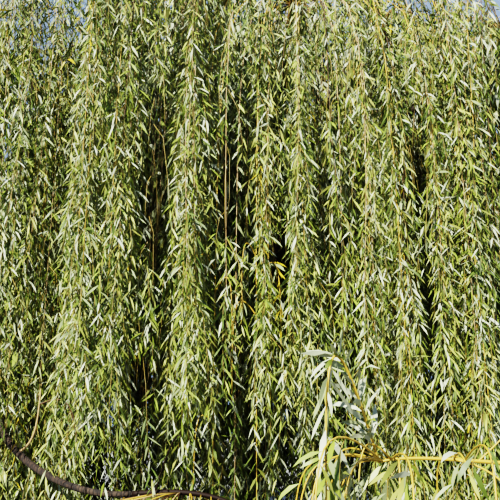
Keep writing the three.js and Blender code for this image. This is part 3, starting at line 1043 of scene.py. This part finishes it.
@dataclass
class Foliage:
    """Stems, hanging twigs, side shoots and leaves of every cascade."""

    crown: Crown
    limbs: Limbs
    growths: dict[str, Growth]
    eye: Triple
    form: LeafForm = LeafForm()
    side_form: ShootForm = ShootForm()
    bough_form: ShootForm = ShootForm((0.5, 0.98), (0.6, 1.3), (0.15, 0.4), (0.3, 0.9), (5.0, 5.0))
    partings: tuple[Parting, ...] = (
        Parting(-0.66, 3.4, 0.17, 1.4),
        Parting(-0.16, 3.35, 0.24, 0.85),
        Parting(0.19, 2.78, 0.16, 0.4),
        Parting(0.55, 4.1, 0.15, 0.6),
        Parting(0.75, 4.2, 0.14, 0.35),
        Parting(1.19, 3.6, 0.18, 0.7),
        Parting(-0.72, 1.95, 0.19, 0.36),
    )
    clear_shoots: tuple[ClearShoot, ...] = (
        ClearShoot(
            "weeping_arch", "near_cascade", 1.0, (-0.25, -0.25), -0.55, 2.2, 6.0, 0.006, 0.02,
            crowding=5.5, leaf_pull=2.2, favoured=LeafKind.SILVER,
        ),
        ClearShoot("near_fork", "near_cascade", 0.33, (0.3, -0.1), -0.28, -0.2, 2.0, 0.005, 0.3),
        ClearShoot("near_spur", "near_cascade", 0.26, (0.2, -0.05), 0.2, 0.9, 2.0, 0.004, 0.3),
        ClearShoot("near_tip", "near_cascade", 0.75, (-0.16, -0.1), -0.2, 0.9, 4.0, 0.004, 0.1),
        ClearShoot("hook", "low_bough", 0.84, (0.17, -0.12), 0.47, 0.3, 5.0, 0.009, 0.7, TwigKind.CREAM),
        ClearShoot("hook_arch", "hook", 0.7, (0.3, -0.05), -0.3, 0.5, 3.0, 0.005, 0.6, TwigKind.BROWN),
        ClearShoot("low_spur", "low_cascade", 0.05, (0.2, -0.1), 0.28, 3.0, 2.5, 0.005, 0.7, TwigKind.DARK),
        ClearShoot("low_rise", "low_bough", 0.79, (0.1, -0.3), 0.5, 1.0, 2.0, 0.006, 0.6, TwigKind.DARK),
        ClearShoot("top_branch", MIDDLE, 0.85, (0.48, -0.1), -0.06, 0.05, 1.5, 0.009, 0.5, TwigKind.BROWN),
        ClearShoot("top_arch", "top_branch", 0.9, (0.25, -0.05), -0.6, 0.8, 5.0, 0.005, 0.3),
        ClearShoot("top_twig", "top_branch", 0.6, (0.6, 0.05), -0.3, 0.4, 3.0, 0.005, 0.5),
        ClearShoot("gold_fall_left", MIDDLE, 0.9, (-0.64, -0.16), -4.2, 0.5, 9.0, 0.0045, 0.3),
        ClearShoot("gold_fall_right", MIDDLE, 0.8, (-0.36, -0.2), -4.3, 0.5, 9.0, 0.0045, 0.35),
        ClearShoot("middle_fork", "gold_fall_right", 0.66, (-0.16, -0.05), -0.6, 1.5, 6.0, 0.004, 0.3),
        ClearShoot("left_fork", "gold_fall_left", 0.8, (-0.12, -0.03), -0.5, 1.2, 6.0, 0.0035, 0.3),
        spray("gold_spray_left", "gold_fall_left", 0.6, (-0.13, -0.08), -0.5, 1.6, LeafKind.YELLOW),
        spray("gold_spray_right", "gold_fall_left", 0.63, (0.12, -0.1), -0.45, 1.4, LeafKind.FRESH),
        spray("fresh_spray_left", "gold_fall_right", 0.58, (-0.1, -0.1), -0.5, 1.5, LeafKind.FRESH),
        spray("fresh_spray_right", "gold_fall_right", 0.61, (0.16, -0.08), -0.5, 1.4, LeafKind.YELLOW),
        ClearShoot("cream_fall", MIDDLE, 0.85, (-0.5, -0.12), -4.1, 0.4, 9.0, 0.004, 0.25, TwigKind.CREAM),
    )
    face_distance: float = 4.1
    parting_depth: float = 5.2
    bare_share: float = 0.25
    strands: tuple[Span, ...] = ((0.33, 0.3), (0.21, 0.3))
    strand_waver: Span = (1.4, 2.3)
    front_edge: float = -2.5
    front_side: float = 1.85
    tries: int = 4
    spread: float = 1.34
    edge_pull: float = 1.5
    edge_inset: float = 0.04
    stem_steps: int = 24
    first_spring: float = 0.12
    last_spring: float = 0.9
    tested_places: int = 14
    least_reach: float = 0.06
    sway: float = 0.14
    foot_share: float = 0.4
    foot_middle: float = 0.6
    short_twigs: float = 1.7
    least_foot: float = 0.2
    over_low_box: float = 0.1
    twig_bend: float = 10.0
    bend_unrest: float = 0.2
    launch_unrest: float = 0.5
    side_launch: float = 0.45
    overlap: float = 0.16
    stem_shoot_spacing: float = 0.05
    least_shoot: float = 0.12
    twig_leaf_pull: float = 0.65
    shoot_pull: float = 0.74
    bough_twigs: int = 7
    inner_twigs: int = 23
    bough_twig_length: float = 1.0
    inner_twig_length: float = 3.3
    bough_seed: int = 1000
    clear_seed: int = 2000
    most_leaves: int = 90
    green_shares: tuple[float, ...] = (0.27, 0.30, 0.25, 0.17, 0.01)
    underside_share: float = 0.18
    stray_share: float = 0.2
    twig_shares: tuple[float, ...] = (0.25, 0.47, 0.2, 0.08)
    stem_tip: float = 0.004
    clear_taper: float = 0.4
    twig_radii: Span = (0.0042, 0.0014)
    fine_radii: Span = (0.0024, 0.001)
    plain_radii: Span = (0.003, 0.0015)
    stem_kinds: dict[str, TwigKind] = field(
        default_factory=lambda: {"low": TwigKind.DARK, "near": TwigKind.GOLDEN}
    )
    grown: dict[str, list[Fountains]] = field(default_factory=lambda: defaultdict(list))
    leaves: list[LeafGroup] = field(default_factory=list)
    lines: dict[str, Fountains] = field(default_factory=dict)

    def growth_of(self, cascade: Cascade) -> Growth:
        """How thickly a cascade is grown: more so at the front, which is seen from close by."""
        front = cascade.ring.name == "curtain" and cascade.middle[1] < self.front_edge
        return self.growths["front" if front else cascade.ring.name]

    def hanging_twigs(self, cascade: Cascade, wanted: int, front: bool) -> Fountains:
        """The hanging twigs of a cascade, by the source's rule.

        Their feet are scattered over its space, closer together towards its outer edge, and each springs
        from the nearest place on the stem. Those that would leave the space or touch a limb are left out.

        Args:
            cascade: Whose twigs they are.
            wanted: How many are kept at most.
            front: Whether they bunch in strands round the partings, some of them short.

        Returns:
            The twigs.
        """
        n = np.arange(wanted * self.tries)
        seed = cascade.seed
        ring = cascade.ring
        aside = self.spread * ring.wide * offset(n, 0, seed)
        inwards = (ring.inner + ring.outer) * scatter(n, 1, seed) ** self.edge_pull
        out = ring.outer - self.edge_inset - inwards
        hang = cascade.middle + cascade.side * aside[:, None] + cascade.outward * out[:, None]
        if front:
            hang[:, 0] += self.bunching(hang)
        stem = cascade.stem()
        steps = stem.points(np.linspace(0, 1, self.stem_steps + 1))[0]
        apart = norm(hang[:, None, :2] - steps[None, :, :2])
        nearest = self.last_spring * np.argmin(apart, axis=1) / self.stem_steps
        start = stem.points(np.maximum(self.first_spring, nearest))[0]
        reach = (hang - start) * LEVEL
        unrest = self.foot_share * self.crown.foot_jitter
        foot = np.maximum(cascade.foot + unrest * (scatter(n, 2, seed) - self.foot_middle), self.least_foot)
        if front:
            foot = foot + self.short_twigs * scatter(n, 3, seed + 0.25) ** 4
        if cascade.ring is not self.crown.low:
            top = self.crown.low_box[1][2]
            over_low = self.crown.in_low_box(hang + UP * (top - 0.01 - hang[:, 2:]), 0.0)
            foot = np.where(over_low, np.maximum(foot, top + self.over_low_box), foot)
        launch = ring.twig_launch * (1 + self.launch_unrest * offset(n, 2, seed + 0.5))
        if ring.name == "curtain":
            launch = launch + self.side_launch * offset(n, 0, seed) ** 2
        bend = self.twig_bend * (1 + self.bend_unrest * offset(n, 3, seed + 0.5))
        twigs = Fountains(start, reach, launch, foot, bend, self.sway * offset(n, 3, seed))
        places = twigs.points(np.linspace(0.1, 1, self.tested_places))
        flat = places.reshape(-1, 3)
        good = np.all(self.crown.in_own_space(places, cascade, self.overlap), axis=1)
        good &= np.all(self.limbs.clear(flat, 0.01).reshape(len(n), -1), axis=1)
        good &= norm(reach) > self.least_reach
        if front:
            bare = np.any(self.parted(flat).reshape(len(n), -1), axis=1)
            good &= ~bare | (scatter(n, 1, seed + 0.5) < self.bare_share)
        return twigs.pick(np.flatnonzero(good)[:wanted])

    def on_face(self, points: Array) -> Array:
        """Points moved along the camera's lines of sight to the front curtain's face."""
        eye = np.array(self.eye)
        return eye + (points - eye) * self.face_distance / (points[:, 1:2] - eye[1])

    def bunching(self, points: Array) -> Array:
        """How far to move twigs sideways so that they bunch in strands.

        For each of two widths of strand the move is strand / 2pi x pull x sin(2pi x / strand + a sin(b x)),
        which crowds them together where the sine falls through nought.

        Args:
            points: Where the twigs hang.

        Returns:
            Moves along x.
        """
        x = self.on_face(points)[:, 0]
        depth, rate = self.strand_waver
        move = np.zeros(len(x))
        for strand, pull in self.strands:
            move += strand / FULL_TURN * pull * np.sin(FULL_TURN * x / strand + depth * np.sin(rate * x))
        return move

    def parted(self, points: Array) -> Array:
        """Whether points lie in a parting: an ellipse on the curtain's face, carried on along the view.

        Args:
            points: By three.

        Returns:
            A mask.
        """
        face = self.on_face(points)
        inside = np.zeros(len(points), dtype=bool)
        for gap in self.partings:
            across = (face[:, 0] - gap.x) / (gap.width / 2)
            upright = (face[:, 2] - gap.z) / (gap.height / 2)
            inside |= across**2 + upright**2 < 1
        return inside & (points[:, 1] < self.eye[1] + self.parting_depth)

    def side_shoots(self, twigs: Fountains, cascade: Cascade, growth: Growth, spacing: float) -> Fountains:
        """Side shoots down the hanging twigs, turned by the golden angle from one to the next.

        Each is a small fountain that leaves its twig at a slant and then hangs.

        Args:
            twigs: What they grow on.
            cascade: Whose twigs they are.
            growth: How long they are.
            spacing: How far apart they stand.

        Returns:
            The shoots.
        """
        count = np.maximum(2, np.round(twigs.fall / spacing)).astype(int)
        row, order = ranks(count)
        n = np.arange(len(row))
        seed, form = cascade.seed, self.side_form
        share = mix(*form.share, ((order + 0.5 * scatter(n, 0, seed)) / count[row]) ** self.shoot_pull)
        start = twigs.pick(row).points(share[:, None])[:, 0]
        unrest = form.turn_unrest * offset(n, 3, seed)
        azimuth = GOLDEN_ANGLE * order + 360 * scatter(row, 1, seed) + unrest
        length = growth.shoot_length * mix(*form.length, scatter(n, 2, seed))
        foot = np.maximum(start[:, 2] - length, cascade.foot - form.foot_unrest * scatter(n, 1, seed))
        foot = np.maximum(foot, self.least_foot)
        length = start[:, 2] - foot
        reach = heading(azimuth) * (length * mix(*form.reach, scatter(n, 0, seed + 0.5)))[:, None]
        launch = mix(*form.launch, scatter(n, 1, seed + 0.5))
        bend = mix(*form.bend, scatter(n, 3, seed + 0.5))
        shoots = Fountains(start, reach, launch, foot, bend, form.sway * length * offset(n, 2, seed + 0.5))
        good = length > self.least_shoot
        for share in (0.5, 1.0):
            good &= self.limbs.clear(shoots.points(share)[:, 0], 0.03)
        return shoots.pick(good)

    def leaves_on(
        self, curves: Fountains, span: Span, growth: Growth, cascade: Cascade, seed: int, pull: float = 1.0
    ) -> LeafGroup:
        """The leaves along some shoots.

        A leaf's base way is the shoot's way turned outwards, its tip way is that way turned down, and its
        face leans towards the open air and the sky.

        Args:
            curves: The shoots.
            span: From which share of a shoot to which there are leaves.
            growth: How closely they stand, and their size.
            cascade: Whose leaves they are.
            seed: Of their small differences.
            pull: Above 1, they stand closer near the shoots' roots.

        Returns:
            The leaves.
        """
        form = self.form
        dice = np.random.default_rng(seed)
        run = np.maximum(np.abs(curves.root[:, 2] - curves.foot), norm(curves.reach)) * (span[1] - span[0])
        count = np.clip(np.round(run / growth.leaf_spacing), 3, self.most_leaves).astype(int)
        row, order = ranks(count)
        share = mix(*span, ((order + dice.uniform(*form.place, len(row))) / count[row]) ** pull)
        owner = curves.pick(row)
        base = owner.points(share[:, None])[:, 0]
        if growth is self.growths["front"]:
            clear = ~self.parted(base)
            row, order, share, base = (part[clear] for part in (row, order, share, base))
            owner = owner.pick(clear)
        total = len(row)
        way = owner.ways(share[:, None])[:, 0]
        unrest = dice.uniform(-form.turn_unrest, form.turn_unrest, total)
        level = heading(GOLDEN_ANGLE * order + form.turn * row + unrest)
        out = unit(level - way * np.sum(level * way, axis=1, keepdims=True))
        slant = np.radians(dice.uniform(*form.slant, total))[:, None]
        first = unit(way * np.cos(slant) + out * np.sin(slant))
        droop = dice.uniform(*form.droop, total)[:, None]
        last = unit(first - UP * droop + form.unrest * dice.normal(size=(total, 3)))
        second = unit(first + last)
        open_air = np.array([*cascade.outward[:2], form.skywards])
        if cascade.ring.name in ("low", "near"):
            open_air = np.array([0.0, -1.0, form.skywards])
        face = out * form.outwards + open_air * form.openness + form.tumble * dice.normal(size=(total, 3))
        across = unit(np.cross(first, face))
        curl = form.curl * dice.normal(size=(total, 1))
        turned = unit(across + curl * np.cross(second, across))
        size = dice.uniform(*form.size, total) * (1 - form.end_loss * share**4)
        length = (growth.leaf_length * size)[:, None]
        width = (growth.leaf_width * size * dice.uniform(*form.width, total))[:, None] / 2
        waist = base + first * length * form.parts[0]
        shoulder = waist + second * length * form.parts[1]
        tip = shoulder + last * length * form.parts[2]
        wide, narrow = across * width, turned * width * form.shoulder
        outline = [base, waist - wide, waist + wide, shoulder - narrow, shoulder + narrow, tip]
        kind = self.deal_kinds(row, len(curves), dice)
        return LeafGroup(np.stack(outline, axis=1), kind, growth.leaf_faces)

    def deal_kinds(self, row: Array, sprays: int, dice: np.random.Generator) -> Array:
        """Deals out the colours by spray: each has one green, and shows some silvery undersides.

        Args:
            row: The spray of each leaf.
            sprays: How many sprays there are.
            dice: Where chance comes from.

        Returns:
            The number of each leaf's kind.
        """
        kind = dice.choice(len(self.green_shares), size=sprays, p=self.green_shares)[row]
        chance = dice.uniform(size=len(row))
        kind = np.where(chance < self.underside_share, LeafKind.DULL_SILVER.number, kind)
        kind = np.where(chance > 1 - self.underside_share, LeafKind.SILVER.number, kind)
        stray = dice.uniform(size=len(row)) < self.stray_share
        return np.where(stray, dice.choice(LeafKind.YELLOW.number, size=len(row)), kind)

    def grow(self) -> None:
        """Grows every cascade. Aside of the camera's view twigs are fewer and their leaves larger."""
        front = self.growths["front"]
        for cascade in self.crown.cascades:
            growth = self.growth_of(cascade)
            twigs = self.hanging_twigs(cascade, growth.twigs, growth is front)
            stem = cascade.stem()
            self.lines[cascade.name] = stem
            if growth is front:
                aside = np.abs(twigs.root[:, 0] + twigs.reach[:, 0]) > self.front_side
                self.dress(cascade, twigs.pick(~aside), None, growth, 4 * cascade.seed)
                rest = twigs.pick(np.flatnonzero(aside)[::2])
                self.dress(cascade, rest, stem, self.growths["curtain"], 4 * cascade.seed + 2)
            else:
                self.dress(cascade, twigs, stem, growth, 4 * cascade.seed)
        self.hang_from_boughs()
        self.add_clear_shoots()

    def add_clear_shoots(self) -> None:
        """Grows the shoots that stand clear, each from its carrier, with leaves like those round it."""
        near = self.crown.cascades[-1]
        for order, shoot in enumerate(self.clear_shoots):
            if shoot.carrier in self.limbs.limbs:
                root = self.limbs.limbs[shoot.carrier].place(shoot.share)
            else:
                root = self.lines[shoot.carrier].points(shoot.share)[0, 0]
            reach = np.array([*shoot.reach, 0.0])
            line = single(root, reach, shoot.launch, root[2] + shoot.lift, shoot.bend)
            self.lines[shoot.name] = line
            growth = self.growths["near" if shoot.carrier.startswith("near") else "low"]
            growth = replace(growth, leaf_spacing=growth.leaf_spacing / shoot.crowding)
            seed = self.clear_seed + order
            group = self.leaves_on(line, (shoot.first_leaf, 1.0), growth, near, seed, shoot.leaf_pull)
            if shoot.favoured:
                kind = np.where(group.kind < LeafKind.FRESH.number, shoot.favoured.number, group.kind)
                group = replace(group, kind=kind)
            self.leaves.append(group)

    def hang_from_boughs(self) -> None:
        """Hangs twigs under the outer halves of the boughs and branches, which fill the crown in."""
        form = self.bough_form
        for number, limb in enumerate(self.limbs.limbs.values()):
            if limb.low():
                continue
            cascade = self.crown.cascades[number]
            inner = cascade.ring.name == "curtain"
            longest = self.inner_twig_length if inner else self.bough_twig_length
            n = np.arange(self.inner_twigs if inner else self.bough_twigs)
            start = np.stack([limb.place(share) for share in mix(*form.share, scatter(n, 0, number))])
            length = longest * mix(*form.length, scatter(n, 1, number))
            reach = heading(360 * scatter(n, 2, number)) * mix(*form.reach, scatter(n, 3, number))[:, None]
            launch = mix(*form.launch, scatter(n, 1, number + 0.5))
            foot = np.maximum(start[:, 2] - length, cascade.foot)
            bend = mix(*form.bend, scatter(n, 2, number + 0.5))
            twigs = Fountains(start, reach, launch, foot, bend, form.sway * offset(n, 0, number + 0.5))
            growth = self.growths["inside" if inner else "shoulder"]
            self.dress(cascade, twigs, None, growth, self.bough_seed + 2 * number)

    def dress(
        self, cascade: Cascade, twigs: Fountains, stem: Fountains | None, growth: Growth, seed: int
    ) -> None:
        """Grows the shoots and leaves of some of a cascade's twigs.

        Args:
            cascade: Whose twigs they are.
            twigs: The twigs.
            stem: The stem, if shoots grow on it too.
            growth: How thickly they are grown.
            seed: Of the leaves' small differences.
        """
        if len(twigs) == 0:
            return
        shoots = self.side_shoots(twigs, cascade, growth, growth.shoot_spacing)
        if stem is not None:
            shoots = joined([shoots, self.side_shoots(stem, cascade, growth, self.stem_shoot_spacing)])
        self.grown["twigs_near" if cascade.ring.name == "near" else "twigs"].append(twigs)
        self.grown["side_shoots_front" if growth.leaf_faces > 2 else "side_shoots_around"].append(shoots)
        pull = self.twig_leaf_pull
        self.leaves.append(self.leaves_on(shoots, (0.04, 1.0), growth, cascade, seed))
        self.leaves.append(self.leaves_on(twigs, (0.01, 1.0), growth, cascade, seed + 1, pull))
        log.info("%s: %d twigs, %d shoots", cascade.name, len(twigs), len(shoots))

    def piece(self, name: str, mesh: Pair, finish: PlainFinish) -> None:
        """Makes one piece of the foliage, which stands for every cascade."""
        nodes = [cascade.name for cascade in self.crown.cascades]
        mesh_piece(name, *mesh, finish.material(), "foliage", nodes)

    def stem_tubes(self, kind: TwigKind | None, shares: Array) -> list[Pair]:
        """The tubes of the stems that have one colour of twig, or none."""
        own = [cascade for cascade in self.crown.cascades if self.stem_kinds.get(cascade.ring.name) is kind]
        return [tubes(self.lines[one.name], shares, (one.ring.stem_radius, self.stem_tip), 8) for one in own]

    def build(self) -> None:
        """Makes the pieces: stems, twigs, shoots, and each kind of leaf."""
        self.piece("stems", merged(self.stem_tubes(None, np.linspace(0, 1, 20))), STEM_BARK)
        shares = np.linspace(0, 1, 24) ** 1.5
        for kind in TwigKind:
            clear = [shoot for shoot in self.clear_shoots if shoot.kind is kind]
            radii = [(shoot.radius, self.clear_taper * shoot.radius) for shoot in clear]
            parts = [tubes(self.lines[shoot.name], shares, pair, 6) for shoot, pair in zip(clear, radii)]
            name = kind.value.name.replace("twig", "clear_shoots")
            self.piece(name, merged(parts + self.stem_tubes(kind, shares)), kind.value)
        near = tubes(joined(self.grown["twigs_near"]), shares, self.twig_radii, 5)
        self.piece("twigs_near", near, TwigKind.GOLDEN.value)
        twigs = joined(self.grown["twigs"])
        dice = np.random.default_rng(len(twigs))
        dealt = dice.choice(len(TwigKind), size=len(twigs), p=self.twig_shares)
        shares = np.linspace(0, 1, 9) ** 1.7
        for number, kind in enumerate(TwigKind):
            mesh = tubes(twigs.pick(dealt == number), shares, self.twig_radii, 3)
            self.piece(kind.value.name.replace("twig", "twigs"), mesh, kind.value)
        for name, places, radii in (
            ("side_shoots_front", [0.0, 0.25, 0.6, 1.0], self.fine_radii),
            ("side_shoots_around", [0.0, 0.4, 1.0], self.plain_radii),
        ):
            self.piece(name, tubes(joined(self.grown[name]), np.array(places), radii, 3), GREEN_GOLD)
        for kind in LeafKind:
            mesh = merged([group.of_kind(kind.number) for group in self.leaves])
            self.piece(kind.value.name.replace("leaf", "leaves", 1), mesh, kind.value)
        log.info("%d leaves", sum(len(group.kind) for group in self.leaves))


@dataclass(frozen=True)
class Lamp:
    """A far lamp: where it stands in degrees, from +X towards +Y and upwards, and how wide it looks."""

    azimuth: float
    elevation: float
    power: float
    angle: float
    warmth: float

    def hang(self, name: str) -> None:
        """Adds it to the scene.

        Args:
            name: Its name.
        """
        data = bpy.data.lights.new(name, "SUN")
        data.energy = self.power
        data.angle = math.radians(self.angle)
        data.color = (1.0, 1.0 - 0.3 * self.warmth, 1.0 - self.warmth)
        lamp = bpy.data.objects.new(name, data)
        lamp.rotation_euler = (math.radians(90 - self.elevation), 0.0, math.radians(self.azimuth + 90))
        bpy.context.scene.collection.objects.link(lamp)


@dataclass
class Studio:
    """Camera, lights, sky and floor."""

    eye: Triple = (0.0, -8.6, 1.6)
    pitch: float = 12.0
    field_of_view: float = 44.0
    shift: float = 0.1
    sensor: float = 36.0
    view_limit: float = 500.0
    sun: Lamp = Lamp(-118.0, 36.0, 13.0, 1.5, 0.08)
    fill: Lamp = Lamp(42.0, 35.0, 0.8, 20.0, 0.0)
    sky: Triple = (0.66, 0.76, 0.92)
    sky_power: float = 0.8
    floor_radius: float = 220.0
    floor_finish: PlainFinish = PlainFinish("floor_pale", (0.5, 0.5, 0.49), 0.9, 0.1)

    def camera(self) -> None:
        """The camera, at eye height before the curtain, looking a little up."""
        data = bpy.data.cameras.new("camera")
        data.sensor_width = self.sensor
        data.lens = self.sensor / 2 / math.tan(math.radians(self.field_of_view / 2))
        data.shift_y = self.shift
        data.clip_end = self.view_limit
        camera = bpy.data.objects.new("camera", data)
        camera.location = self.eye
        camera.rotation_euler = (math.radians(90 + self.pitch), 0.0, 0.0)
        bpy.context.scene.collection.objects.link(camera)
        bpy.context.scene.camera = camera

    def build(self) -> None:
        """Sets up the studio."""
        self.camera()
        self.sun.hang("key")
        self.fill.hang("fill")
        world = bpy.data.worlds.new("sky")
        world.use_nodes = True
        background = world.node_tree.nodes["Background"]
        background.inputs["Color"].default_value = linear(self.sky)
        background.inputs["Strength"].default_value = self.sky_power
        bpy.context.scene.world = world
        tone = bpy.context.scene.view_settings
        tone.view_transform = "Filmic"
        tone.look = "Very High Contrast"
        rim = heading(np.arange(0.0, 360.0, 5.0)) * self.floor_radius
        mesh = bpy.data.meshes.new("floor")
        mesh.from_pydata(rim.tolist(), [], [tuple(range(len(rim)))])
        mesh.materials.append(self.floor_finish.material())
        floor = bpy.data.objects.new("floor", mesh)
        bpy.context.scene.collection.objects.link(floor)


def main() -> None:
    """Builds the studio, then the tree from the trunk outwards."""
    logging.basicConfig(level=logging.INFO, format="%(message)s")
    studio = Studio()
    studio.build()
    trunk = Trunk()
    trunk.build()
    crown = Crown()
    crown.place()
    limbs = Limbs(trunk, crown)
    limbs.grow()
    limbs.build()
    growths = dict.fromkeys(("shoulder", "upper", "crown"), Growth(36, 0.4, 0.8, 0.055, 0.2, 0.044)) | {
        "curtain": Growth(62, 0.41, 0.82, 0.054, 0.2, 0.044),
        "inside": Growth(0, 0.6, 0.85, 0.078, 0.25, 0.062),
        "low": Growth(84, 0.16, 0.45, 0.034, 0.118, 0.018, 3),
        "near": Growth(22, 0.2, 0.4, 0.045, 0.155, 0.022, 4),
        "front": Growth(120, 0.265, 0.72, 0.0295, 0.125, 0.0137, 3),
    }
    foliage = Foliage(crown, limbs, growths, studio.eye)
    foliage.grow()
    foliage.build()


if __name__ == "__main__":
    main()
